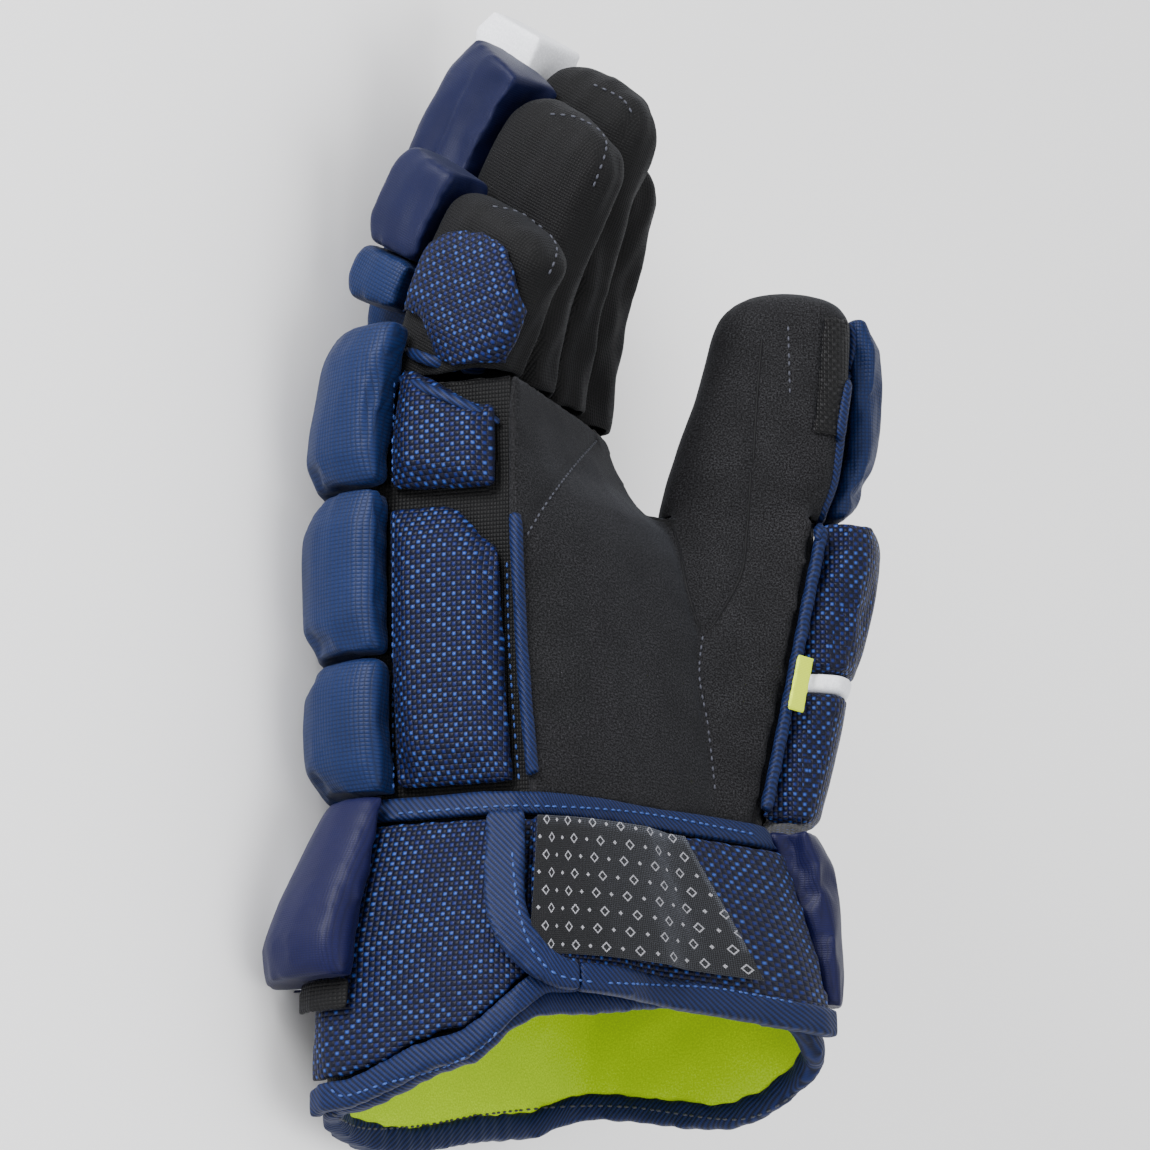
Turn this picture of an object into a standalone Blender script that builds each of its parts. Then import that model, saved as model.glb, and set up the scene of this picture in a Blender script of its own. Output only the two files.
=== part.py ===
# A right-hand ice hockey glove, lying on its back with the palm up.
# +Y runs to the fingertips, +X to the thumb side, +Z from the back of the hand to the palm.
import math
from collections import namedtuple

import bmesh
import bpy
from mathutils import Vector

# Lengths along the glove, in metres
CUFF_LENGTH = 0.103
PALM_LENGTH = 0.125
FINGER_LENGTH = 0.111
THUMB_LENGTH = 0.073

# Widths and depths of the base cloth, in metres
HALF_WIDTH = 0.052
HAND_DEPTH = 0.060
PAD_LIFT = 0.020
FINGER_HALF_WIDTH = 0.0119
FINGER_HALF_DEPTH = 0.0215
THUMB_HALF_WIDTH = 0.0265
THUMB_HALF_DEPTH = 0.0165

# Walls, pads and edges, in metres
CLOTH_WALL = 0.0022
STALL_WALL = 0.0020
LINING_WALL = 0.0035
SEAM_GAP = 0.00045
LAYER_GAP = 0.0008
BACK_PAD = 0.0195
SIDE_BLOCK = 0.0145
MESH_PAD = 0.0085
FINGER_ROLL = 0.0310
THUMB_BACK = 0.0130
THUMB_SIDE = 0.0190
CUFF_ROLL = 0.0210
FLAP = 0.0040
PATCH = 0.0010
BAND = 0.0045
BINDING_RADIUS = 0.0024
BINDING_WIDTH = 0.0080
PAD_GROOVE = 0.0016
TAG_LENGTH = 0.0175
TAG_WIDTH = 0.0085
STRIPE_WIDTH = 0.0058
# One unit along the path round the cuff, from one back corner to the other
BACK_UNIT = 0.100

# The thumb's flat face is turned this far from the palm's plane
THUMB_TURN = math.radians(55)

# Corners of the base cloth: x as a share of HALF_WIDTH, z as a share of HAND_DEPTH above the pads
# pp pinky edge of the palm, pb pinky corner of the back, tb thumb corner of the back,
# nk neck of the thumb's root, ts back of the thumb's root, tt thumb edge, tc V seam of the palm
HAND_NAMES = ("pp", "pb", "tb", "nk", "ts", "tt", "tc")
Section = namedtuple("Section", ("along",) + HAND_NAMES)
HAND_SECTIONS = (
    Section(0.00, (-0.77, 1.02), (-1.03, 0.03), (1.15, 0.00), (1.30, 0.60),
            (1.36, 1.14), (0.94, 1.34), (0.63, 1.27)),
    Section(0.25, (-0.80, 0.98), (-1.07, 0.03), (1.13, 0.00), (1.30, 0.66),
            (1.52, 1.20), (1.06, 1.40), (0.66, 1.20)),
    Section(0.50, (-0.83, 0.96), (-1.08, 0.03), (1.10, 0.00), (1.22, 0.70),
            (1.66, 1.26), (1.17, 1.46), (0.70, 1.12)),
    Section(0.70, (-0.85, 0.95), (-1.08, 0.03), (1.07, 0.00), (1.02, 0.68),
            (1.82, 1.26), (1.26, 1.51), (0.72, 0.97)),
    Section(0.78, (-0.85, 0.95), (-1.08, 0.04), (1.05, 0.00), (0.92, 0.64),
            (1.84, 1.23), (1.29, 1.53), (0.72, 0.82)),
    Section(0.85, (-0.86, 0.95), (-1.08, 0.05), (1.03, -0.01), (0.92, 0.64),
            (1.84, 1.23), (1.29, 1.53), (0.77, 0.66)),
    Section(1.00, (-0.88, 0.97), (-1.06, 0.12), (0.96, -0.05), (0.92, 0.64),
            (1.84, 1.23), (1.29, 1.53), (0.85, 0.50)),
)
WEB = 0.78

# Corners of the cuff lining in the same shares, from the rim to the wrist seam
CuffSection = namedtuple("CuffSection", "along pp pb tb tp")
CUFF_SECTIONS = (
    CuffSection(0.00, (-1.06, 1.20), (-1.21, -0.12), (1.34, -0.12), (1.42, 1.68)),
    CuffSection(0.50, (-1.00, 1.17), (-1.23, -0.10), (1.30, -0.11), (1.38, 1.64)),
    CuffSection(0.85, (-0.86, 1.07), (-1.12, 0.00), (1.21, -0.03), (1.24, 1.48)),
    CuffSection(1.00, (-0.80, 1.02), (-1.03, 0.03), (1.15, 0.00), (1.15, 1.39)),
)

# How far the cuff's rim stands back from its lowest point, as shares of CUFF_LENGTH,
# from the pinky edge of the palm round the back and the thumb side to the palm again
RimPoint = namedtuple("RimPoint", "turn back")
RIM = (
    RimPoint(0.0, 0.34), RimPoint(0.3, 0.20), RimPoint(0.8, 0.09), RimPoint(1.3, 0.02), RimPoint(1.8, 0.12),
    RimPoint(2.1, 0.20), RimPoint(2.6, 0.14), RimPoint(3.0, 0.30), RimPoint(3.3, 0.44), RimPoint(4.0, 0.34),
)

# Fingers: shares of HALF_WIDTH across, of HAND_DEPTH up, of FINGER_LENGTH, and bend in degrees
Finger = namedtuple("Finger", "name across up length base_depth tip_depth base_bend tip_bend drift roll_split roll")
FINGERS = (
    Finger("pinky", -0.770, 0.525, 0.50, 0.99, 1.02, 18, 38, -0.03, 0.50, 0.84),
    Finger("ring", -0.285, 0.450, 0.84, 0.99, 1.05, 6, 40, -0.01, 0.44, 1.00),
    Finger("middle", 0.200, 0.372, 1.00, 0.92, 1.07, 2, 33, 0.01, 0.42, 1.00),
    Finger("index", 0.685, 0.280, 0.83, 0.79, 0.86, 0, 29, 0.03, 0.44, 0.90),
)

# Thumb rings: along the thumb, centre across and away in the thumb's turned frame as shares of
# HALF_WIDTH, and width and depth as shares of the thumb's half sizes
ThumbRing = namedtuple("ThumbRing", "along across away width depth")
THUMB_RINGS = (
    ThumbRing(0.00, 2.04, 0.10, 0.94, 0.95),
    ThumbRing(0.25, 2.15, 0.11, 0.99, 1.00),
    ThumbRing(0.55, 2.25, 0.12, 0.87, 1.00),
    ThumbRing(0.80, 2.30, 0.12, 0.80, 0.94),
    ThumbRing(1.00, 2.36, 0.12, 0.74, 0.86),
)

# Rows of pads on the back, from the finger bases to the wrist, as shares of PALM_LENGTH
PadRow = namedtuple("PadRow", "name low high")
PAD_ROWS = (
    PadRow("knuckle", 0.745, 1.135),
    PadRow("backhand", 0.335, 0.725),
    PadRow("wrist", 0.004, 0.322),
)

# Columns of pads, as places on the path from the pinky palm edge round the back
PadColumn = namedtuple("PadColumn", "name start end")
PAD_COLUMNS = (
    PadColumn("outer", 0.70, 1.36),
    PadColumn("middle", 1.375, 1.66),
    PadColumn("inner", 1.675, 1.97),
)

# Colours as red, green, blue, roughness
FINISHES = {
    "navy_nylon": (0.012, 0.036, 0.135, 0.62),
    "navy_mesh": (0.010, 0.022, 0.110, 0.66),
    "navy_smooth": (0.009, 0.015, 0.085, 0.55),
    "navy_tape": (0.010, 0.032, 0.155, 0.60),
    "black_suede": (0.022, 0.022, 0.022, 0.92),
    "black_knit": (0.014, 0.014, 0.014, 0.90),
    "black_nylon": (0.010, 0.010, 0.011, 0.80),
    "lime_lining": (0.38, 0.58, 0.006, 0.75),
    "lime_tag": (0.58, 0.76, 0.02, 0.55),
    "white_vinyl": (0.80, 0.80, 0.80, 0.45),
}


def clear_scene():
    for old in list(bpy.data.objects):
        bpy.data.objects.remove(old, do_unlink=True)


def material(name):
    found = bpy.data.materials.get(name)
    if found:
        return found
    red, green, blue, rough = FINISHES[name]
    made = bpy.data.materials.new(name)
    made.use_nodes = True
    shader = made.node_tree.nodes["Principled BSDF"]
    shader.inputs["Base Color"].default_value = (red, green, blue, 1.0)
    shader.inputs["Roughness"].default_value = rough
    shader.inputs["Metallic"].default_value = 0.0
    return made


def mix(a, b, share):
    return a + (b - a) * share


def ramp(value, start, end):
    share = min(max((value - start) / (end - start), 0.0), 1.0)
    return share * share * (3.0 - 2.0 * share)


def spline(rows, along, read):
    # A smooth curve through the rows of a table, straight on past either end
    last = len(rows) - 1
    place = 0
    while place < last - 1 and along > rows[place + 1].along:
        place += 1
    low, high = rows[place], rows[place + 1]
    span = high.along - low.along
    share = (along - low.along) / span
    before = rows[max(place - 1, 0)]
    after = rows[min(place + 2, last)]
    slope_low = (read(high) - read(before)) / (high.along - before.along) * span
    slope_high = (read(after) - read(low)) / (after.along - low.along) * span
    if share < 0.0:
        return read(low) + slope_low * share
    if share > 1.0:
        return read(high) + slope_high * (share - 1.0)
    square, cube = share * share, share * share * share
    return (read(low) * (2 * cube - 3 * square + 1) + slope_low * (cube - 2 * square + share)
            + read(high) * (3 * square - 2 * cube) + slope_high * (cube - square))


def corner(rows, along, name):
    x = spline(rows, along, lambda row: getattr(row, name)[0]) * HALF_WIDTH
    z = spline(rows, along, lambda row: getattr(row, name)[1]) * HAND_DEPTH + PAD_LIFT
    return Vector((x, z))


def path_point(corners, rounding, place):
    # A point on the path through the corners, rounded by a share of the sides at each corner
    count = len(corners) - 1
    nearest = min(max(round(place), 0), count)
    soft = rounding[nearest]
    off = place - nearest
    if 0 < nearest < count and abs(off) < soft:
        share = (off + soft) / (2.0 * soft)
        first = corners[nearest].lerp(corners[nearest - 1], soft)
        final = corners[nearest].lerp(corners[nearest + 1], soft)
        return first.lerp(corners[nearest], share).lerp(corners[nearest].lerp(final, share), share)
    side = min(max(math.floor(place), 0), count - 1)
    return corners[side].lerp(corners[side + 1], place - side)


def path_place(corners, rounding, place, depth):
    # The point at a depth outside the path, square to it
    step = 0.02
    here = path_point(corners, rounding, place)
    ahead = path_point(corners, rounding, min(place + step, len(corners) - 1))
    behind = path_point(corners, rounding, max(place - step, 0.0))
    way = (ahead - behind).normalized()
    return here + Vector((way.y, -way.x)) * depth


HAND_ROUNDING = (0.0, 0.26, 0.30, 0.34, 0.42, 0.0, 0.0, 0.0)
KNUCKLE_ROUNDING = (0.0, 0.26, 0.30, 0.0)


def hand_place(place, along, depth):
    # Round the hand below the web: 0 pinky edge, 1 and 2 back corners, 5 thumb edge, 6 V seam
    corners = [corner(HAND_SECTIONS, along, name) for name in HAND_NAMES]
    corners.append(corners[0])
    flat = path_place(corners, HAND_ROUNDING, place, depth)
    return Vector((flat.x, CUFF_LENGTH + along * PALM_LENGTH, flat.y))


def knuckle_place(place, along, depth):
    # Round the hand above the web: 0 pinky edge, 1 and 2 back corners, 3 index edge of the palm
    corners = [corner(HAND_SECTIONS, along, name) for name in ("pp", "pb", "tb", "tc")]
    flat = path_place(corners, KNUCKLE_ROUNDING, place, depth)
    return Vector((flat.x, CUFF_LENGTH + along * PALM_LENGTH, flat.y))


PALM_BULGE = 0.0035


def palm_place(place, along, depth):
    # Across the palm from the V seam, 0, to the pinky edge, 1
    start = corner(HAND_SECTIONS, along, "tc")
    end = corner(HAND_SECTIONS, along, "pp")
    way = (end - start).normalized()
    rise = depth + PALM_BULGE * math.sin(math.pi * place) * ramp(along, 1.05, 0.6)
    flat = start.lerp(end, place) + Vector((-way.y, way.x)) * -rise
    return Vector((flat.x, CUFF_LENGTH + along * PALM_LENGTH, flat.y))


def rim_back(place):
    turn = place % 4.0
    for low, high in zip(RIM, RIM[1:]):
        if turn <= high.turn:
            return CUFF_LENGTH * mix(low.back, high.back, ramp(turn, low.turn, high.turn))
    return CUFF_LENGTH * RIM[-1].back


def cuff_place(place, height, depth):
    # Round the cuff: 0 pinky edge of the palm, 1 and 2 back corners, 3 thumb corner, 4 the palm again
    corners = [corner(CUFF_SECTIONS, height / CUFF_LENGTH, name) for name in ("pp", "pb", "tb", "tp")]
    ring = [corners[3]] + corners + [corners[0], corners[1]]
    soft = (0.22, 0.22, 0.24, 0.24, 0.22, 0.22, 0.24)
    flat = path_place(ring, soft, place % 4.0 + 1.0, depth)
    return Vector((flat.x, height, flat.y))


def finger_frame(finger, along):
    # Centre, outward way and upward way of a finger's section, which bends towards the palm
    base = math.radians(finger.base_bend)
    tip = math.radians(finger.tip_bend)
    length = finger.length * FINGER_LENGTH
    steps = 12
    y, z = 0.0, 0.0
    for step in range(steps):
        angle = mix(base, tip, along * (step + 0.5) / steps)
        y += math.cos(angle) * length * along / steps
        z += math.sin(angle) * length * along / steps
    x = (finger.across + finger.drift * along) * HALF_WIDTH
    start_y = CUFF_LENGTH + PALM_LENGTH + SEAM_GAP
    centre = Vector((x, start_y + y, PAD_LIFT + finger.up * HAND_DEPTH + z))
    tilt = mix(base, tip, along) * ramp(along, -0.02, 0.42)
    return centre, Vector((0.0, math.cos(tilt), math.sin(tilt))), Vector((0.0, -math.sin(tilt), math.cos(tilt)))


def finger_depth(finger, along):
    return mix(finger.base_depth, finger.tip_depth, along) * FINGER_HALF_DEPTH


def squared(angle, power):
    across = math.cos(angle)
    up = math.sin(angle)
    return (math.copysign(abs(across) ** (2.0 / power), across),
            math.copysign(abs(up) ** (2.0 / power), up))


DOME_START = 0.84


def dome(along):
    share = max(along - DOME_START, 0.0) / (1.0 - DOME_START)
    return math.sqrt(max(1.0 - share * share, 0.0))


def finger_place(finger, angle, along, inside):
    # Round a stall: angle 0 faces the thumb side and a quarter turn faces the palm
    centre, _ahead, up = finger_frame(finger, along)
    across, rise = squared(angle, 3.2)
    wide = (FINGER_HALF_WIDTH - inside) * across * dome(along)
    high = (finger_depth(finger, along) - inside) * rise * mix(1.0, dome(along), 0.75)
    return centre + Vector((wide, 0.0, 0.0)) + up * high


def thumb_place(angle, along, inside):
    # Round the thumb: angle 0 faces the fingertips' palm side, a quarter turn faces away from the palm
    across_way = Vector((math.cos(THUMB_TURN), 0.0, math.sin(THUMB_TURN)))
    away_way = Vector((math.sin(THUMB_TURN), 0.0, -math.cos(THUMB_TURN)))
    middle = spline(THUMB_RINGS, along, lambda row: row.across) * HALF_WIDTH
    away = spline(THUMB_RINGS, along, lambda row: row.away) * HALF_WIDTH
    wide = spline(THUMB_RINGS, along, lambda row: row.width) * THUMB_HALF_WIDTH - inside
    deep = spline(THUMB_RINGS, along, lambda row: row.depth) * THUMB_HALF_DEPTH - inside
    across, back = squared(angle, 2.6)
    start_y = CUFF_LENGTH + WEB * PALM_LENGTH + SEAM_GAP
    spread = wide * across * dome(along)
    point = across_way * (middle + spread) + away_way * (away + deep * back * dome(along))
    return point + Vector((0.0, start_y + along * THUMB_LENGTH, 0.0))


def finish_object(bm, name, finish, sharp=50):
    bmesh.ops.remove_doubles(bm, verts=bm.verts[:], dist=1e-6)
    bmesh.ops.recalc_face_normals(bm, faces=bm.faces[:])
    mesh = bpy.data.meshes.new(name)
    bm.to_mesh(mesh)
    bm.free()
    mesh.shade_smooth()
    mesh.set_sharp_from_angle(angle=math.radians(sharp))
    mesh.materials.append(material(finish))
    made = bpy.data.objects.new(name, mesh)
    bpy.context.scene.collection.objects.link(made)
    made.parent = bpy.data.objects["glove"]
    return made


def crown(across, along, edge):
    # One in the middle of a pad, falling to the edge share along its four sides
    side = 1.0 - abs(2.0 * across - 1.0) ** 5
    end = 1.0 - abs(2.0 * along - 1.0) ** 5
    return edge + (1.0 - edge) * math.sqrt(max(side * end, 0.0))


def panel(name, finish, place, across_steps, along_steps, inner, outer, edge=1.0, rests=False, sharp=50):
    # A closed slab between two depths of a surface, which place maps from shares across and along
    bm = bmesh.new()
    bmesh.ops.create_grid(bm, x_segments=across_steps, y_segments=along_steps, size=1.0)
    grown = bmesh.ops.extrude_face_region(bm, geom=bm.faces[:], use_keep_orig=True)
    for item in grown["geom"]:
        if isinstance(item, bmesh.types.BMVert):
            item.co.z = 1.0
    for vert in bm.verts:
        across = (vert.co.x + 1.0) / 2.0
        along = (vert.co.y + 1.0) / 2.0
        low = inner(across, along) if callable(inner) else inner
        high = outer(across, along) if callable(outer) else outer
        depth = mix(low, high * crown(across, along, edge), vert.co.z)
        point = place(across, along, depth)
        if rests:
            point.z = max(point.z, 0.0)
        vert.co = point
    return finish_object(bm, name, finish, sharp)


def strip(surface, start, end, low, high):
    # Turns shares across and along into places on a surface, low and high may lean with the place
    def place(across, along, depth):
        here = mix(start, end, across)
        bottom = low(here) if callable(low) else low
        top = high(here) if callable(high) else high
        return surface(here, mix(bottom, top, along), depth)
    return place


def sleeve(name, finish, place, sides, stations, wall, length):
    # A hollow stall, open at its base and closed at its tip, spun and then laid on its surface
    bm = bmesh.new()
    outside = [bm.verts.new((2.0, 0.0, at)) for at in stations]
    outside.append(bm.verts.new((0.0, 0.0, 1.0)))
    inside = [bm.verts.new((1.0, 0.0, at)) for at in stations]
    inside.append(bm.verts.new((0.0, 0.0, 1.0 - wall / length)))
    profile = outside + inside[::-1]
    edges = [bm.edges.new(pair) for pair in zip(profile, profile[1:])]
    pole = bm.edges.get((outside[-1], inside[-1]))
    edges.remove(pole)
    bm.edges.remove(pole)
    edges.append(bm.edges.new((inside[0], outside[0])))
    bmesh.ops.spin(bm, geom=bm.verts[:] + edges, axis=(0, 0, 1), cent=(0, 0, 0),
                   angle=math.tau, steps=sides, use_merge=True)
    bmesh.ops.remove_doubles(bm, verts=bm.verts[:], dist=1e-5)
    for vert in bm.verts:
        reach = math.hypot(vert.co.x, vert.co.y)
        angle = math.atan2(vert.co.y, vert.co.x)
        along = vert.co.z
        if reach < 0.5:
            vert.co = place(0.0, along, wall if along < 1.0 else 0.0)
        elif reach < 1.5:
            vert.co = place(angle, along * (1.0 - wall / length), wall)
        else:
            vert.co = place(angle, along, 0.0)
    return finish_object(bm, name, finish)


def ring(name, finish, place, sides, rows, inner, outer):
    # A hollow band, open at both ends, whose profile is spun round the cuff
    bm = bmesh.new()
    lower = [bm.verts.new((2.0, 0.0, row / rows)) for row in range(rows + 1)]
    upper = [bm.verts.new((1.0, 0.0, row / rows)) for row in range(rows + 1)]
    loop = lower + upper[::-1]
    edges = [bm.edges.new(pair) for pair in zip(loop, loop[1:] + loop[:1])]
    bmesh.ops.spin(bm, geom=bm.verts[:] + edges, axis=(0, 0, 1), cent=(0, 0, 0),
                   angle=math.tau, steps=sides, use_merge=True)
    for vert in bm.verts:
        reach = math.hypot(vert.co.x, vert.co.y)
        turn = (math.atan2(vert.co.y, vert.co.x) / math.tau * 4.0) % 4.0
        vert.co = place(turn, vert.co.z, outer if reach > 1.5 else inner)
    return finish_object(bm, name, finish)


def cord(name, finish, points, radius, sides=3):
    # A round binding along a few points, with closed ends
    curve = bpy.data.curves.new(name, "CURVE")
    curve.dimensions = "3D"
    curve.bevel_depth = radius
    curve.bevel_resolution = sides - 2
    curve.use_fill_caps = True
    line = curve.splines.new("POLY")
    line.points.add(len(points) - 1)
    for target, point in zip(line.points, points):
        target.co = (point.x, point.y, point.z, 1.0)
    curve.materials.append(material(finish))
    made = bpy.data.objects.new(name, curve)
    bpy.context.scene.collection.objects.link(made)
    made.parent = bpy.data.objects["glove"]
    return made


BINDING_OFF = BINDING_RADIUS + SEAM_GAP


def side_margin(along):
    # The share of the palm edge that a binding takes from the side panel beside it
    edge = corner(HAND_SECTIONS, along, "pp")
    back = corner(HAND_SECTIONS, along, "pb")
    return (BINDING_WIDTH / 2 + SEAM_GAP) / (edge - back).length


def build_hand():
    end = WEB - SEAM_GAP / PALM_LENGTH
    shell = strip(hand_place, 0.055, 4.89, 0.005, end)
    panel("hand_shell", "black_nylon", shell, 32, 6, -CLOTH_WALL, 0.0, rests=True)
    knuckles = strip(knuckle_place, 0.055, 2.93, WEB, 1.0)
    panel("knuckle_shell", "black_nylon", knuckles, 20, 3, -CLOTH_WALL, 0.0, rests=True)
    heel = strip(hand_place, 5.02, 5.95, 0.005, end)
    panel("thumb_heel", "black_suede", heel, 3, 6, -CLOTH_WALL, 0.0)
    palm = strip(palm_place, 0.012, 0.995, 0.005, 1.0)
    panel("palm", "black_suede", palm, 8, 11, -CLOTH_WALL, 0.0)


def build_stalls():
    stations = (0.0, 0.16, 0.34, 0.52, 0.68, 0.80, 0.88, 0.94, 0.98)
    for finger in FINGERS:
        def place(angle, along, inside, finger=finger):
            return finger_place(finger, angle, along, inside)
        length = finger.length * FINGER_LENGTH
        sleeve(finger.name + "_stall", "black_knit", place, 14, stations, STALL_WALL, length)
    sleeve("thumb_stall", "black_suede", thumb_place, 18, stations, STALL_WALL, THUMB_LENGTH)


def finger_roll(finger, name, finish, start, end, steps=(6, 4)):
    # A box of foam under a finger, which follows its bend
    def place(across, along, depth):
        at = mix(start, end, along)
        centre, _ahead, up = finger_frame(finger, at)
        side = (2.0 * across - 1.0) * FINGER_HALF_WIDTH
        return centre + Vector((side, 0.0, 0.0)) - up * (finger_depth(finger, at) + depth)

    def deep(across, along):
        at = mix(start, end, along)
        lean = mix(0.80, finger.roll, ramp(at, 0.0, 0.7))
        side = math.sqrt(1.0 - abs(2.0 * across - 1.0) ** 4 * 0.75)
        return FINGER_ROLL * lean * side
    panel(name, finish, place, steps[0], steps[1], SEAM_GAP * 0.6, deep, edge=0.86, rests=True)


def build_finger_rolls():
    groove = PAD_GROOVE / FINGER_LENGTH
    patch = 0.10
    for finger in FINGERS:
        length = finger.length
        clear = (PAD_ROWS[0].high - 1.0) * PALM_LENGTH + PAD_GROOVE
        first = clear / (length * FINGER_LENGTH) * 0.92
        split = max(finger.roll_split, first + 0.2)
        tip = 0.985
        if finger.name == "middle":
            tip -= patch
        finger_roll(finger, finger.name + "_roll_base", "navy_nylon", first, split)
        finger_roll(finger, finger.name + "_roll_tip", "navy_smooth", split + groove / length, tip, steps=(6, 5))
        if finger.name == "middle":
            patch_end = tip + patch + 0.015
            finger_roll(finger, "middle_tip_patch", "white_vinyl", tip + groove / 3, patch_end, steps=(6, 2))


def block_depth(place):
    # The pads are thinner up the pinky side than under the hand
    return mix(SIDE_BLOCK, BACK_PAD, ramp(place, 0.80, 1.10))


def build_back_pads():
    for row in PAD_ROWS:
        for column in PAD_COLUMNS:
            steps = 9 if column.name == "outer" else 6
            surface = hand_place if row.high < WEB else knuckle_place
            if row.high < WEB and column.name == "inner":
                steps = 7
            low = row.low
            if surface is knuckle_place and column.name == "inner":
                low = WEB + SEAM_GAP / PALM_LENGTH
            place = strip(surface, column.start, column.end, low, row.high)

            def deep(across, along, column=column):
                return block_depth(mix(column.start, column.end, across))
            panel(row.name + "_pad_" + column.name, "navy_nylon", place, steps, 5,
                  LAYER_GAP, deep, edge=0.80, rests=True)


def build_side_pads():
    start = side_margin(0.5)
    end = PAD_COLUMNS[0].start - 0.012

    def upper_top(here):
        return mix(0.885, 0.985, ramp(here, start, end))

    def upper_low(here):
        return mix(0.700, 0.712, ramp(here, start, end))

    def lower_top(here):
        return mix(0.575, 0.690, ramp(here, start, mix(start, end, 0.45)))
    upper = strip(knuckle_place, start, end, upper_low, upper_top)
    lower = strip(hand_place, start, end, 0.012, lower_top)
    panel("side_pad_upper", "navy_mesh", upper, 6, 5, LAYER_GAP, MESH_PAD, edge=0.45)
    panel("side_pad_lower", "navy_mesh", lower, 6, 7, LAYER_GAP, MESH_PAD, edge=0.45)


def build_pinky_gusset():
    # The mesh panel on the outside of the little finger, from its base lip to the knit of its tip
    finger = FINGERS[0]
    back_angle = math.radians(218)
    palm_angle = math.radians(102)

    def place(across, along, depth):
        angle = mix(back_angle, palm_angle, across)
        low = mix(0.30, 0.02, ramp(across, 0.22, 0.40))
        top = mix(mix(0.66, 0.86, ramp(across, 0.0, 0.40)), 0.56, ramp(across, 0.40, 1.0))
        return finger_place(finger, angle, mix(low, top, along), -depth)
    panel("pinky_gusset", "navy_mesh", place, 9, 5, LAYER_GAP, MESH_PAD * 0.5, edge=0.55)


def build_thumb_pads():
    def back(across, along, depth):
        angle = math.radians(mix(0.0, 126.0, across))
        return thumb_place(angle, mix(0.02, 0.91, along), -depth)
    panel("thumb_back_pad", "navy_nylon", back, 7, 7, LAYER_GAP * 1.8, THUMB_BACK, edge=0.62)

    def inset(across, along, depth):
        angle = math.radians(mix(-22.0, -62.0, across))
        return thumb_place(angle, mix(0.34, 0.86, along), -depth)
    panel("thumb_inset", "black_nylon", inset, 4, 5, LAYER_GAP, LAYER_GAP + 0.0012, edge=0.8)

    stripe = STRIPE_WIDTH / PALM_LENGTH
    half_gap = SEAM_GAP / PALM_LENGTH
    split = 0.36
    spans = (("thumb_side_pad_low", "navy_mesh", 0.012, split - stripe / 2 - half_gap, 4),
             ("thumb_stripe", "white_vinyl", split - stripe / 2, split + stripe / 2, 1),
             ("thumb_side_pad", "navy_mesh", split + stripe / 2 + half_gap, 0.765, 5))
    for name, finish, low, high, rows in spans:
        place = strip(hand_place, 3.30, 4.86, low, high)

        def deep(across, along, low=low, high=high):
            at = mix(low, high, along)
            body = math.sqrt(max(1.0 - abs(2.0 * across - 1.0) ** 4, 0.0))
            return LAYER_GAP + (THUMB_SIDE - LAYER_GAP) * mix(0.55, 1.0, body) * mix(0.9, 1.0, ramp(at, 0.0, 0.6))
        panel(name, finish, place, 10, rows, LAYER_GAP, deep)


def build_bindings():
    def along_edge(low, high, count, place):
        return [place(mix(low, high, step / (count - 1))) for step in range(count)]

    def pinky_edge(at):
        edge = hand_place(0.0, at, 0.0)
        return edge + Vector((-0.55, 0.0, 0.83)) * BINDING_OFF
    cord("pinky_binding", "navy_tape", along_edge(0.03, 0.66, 9, pinky_edge), BINDING_RADIUS)

    def thumb_edge(at):
        edge = hand_place(5.0, at, 0.0)
        return edge + Vector((0.45, 0.0, 0.89)) * BINDING_OFF
    cord("thumb_binding", "navy_tape", along_edge(0.03, 0.75, 9, thumb_edge), BINDING_RADIUS)

    middle = 0.345
    half = TAG_LENGTH / PALM_LENGTH / 2
    points = Vector((-0.30, 0.0, 0.95))

    def tag(across, along, depth):
        at = mix(middle - half, middle + half, along)
        top = thumb_edge(at) + Vector((0.0, 0.0, BINDING_RADIUS + SEAM_GAP))
        return top + Vector((mix(-0.6, 0.4, across) * TAG_WIDTH, 0.0, 0.0)) + points * depth
    panel("thumb_tag", "lime_tag", tag, 2, 2, 0.0, 0.0012)


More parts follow.
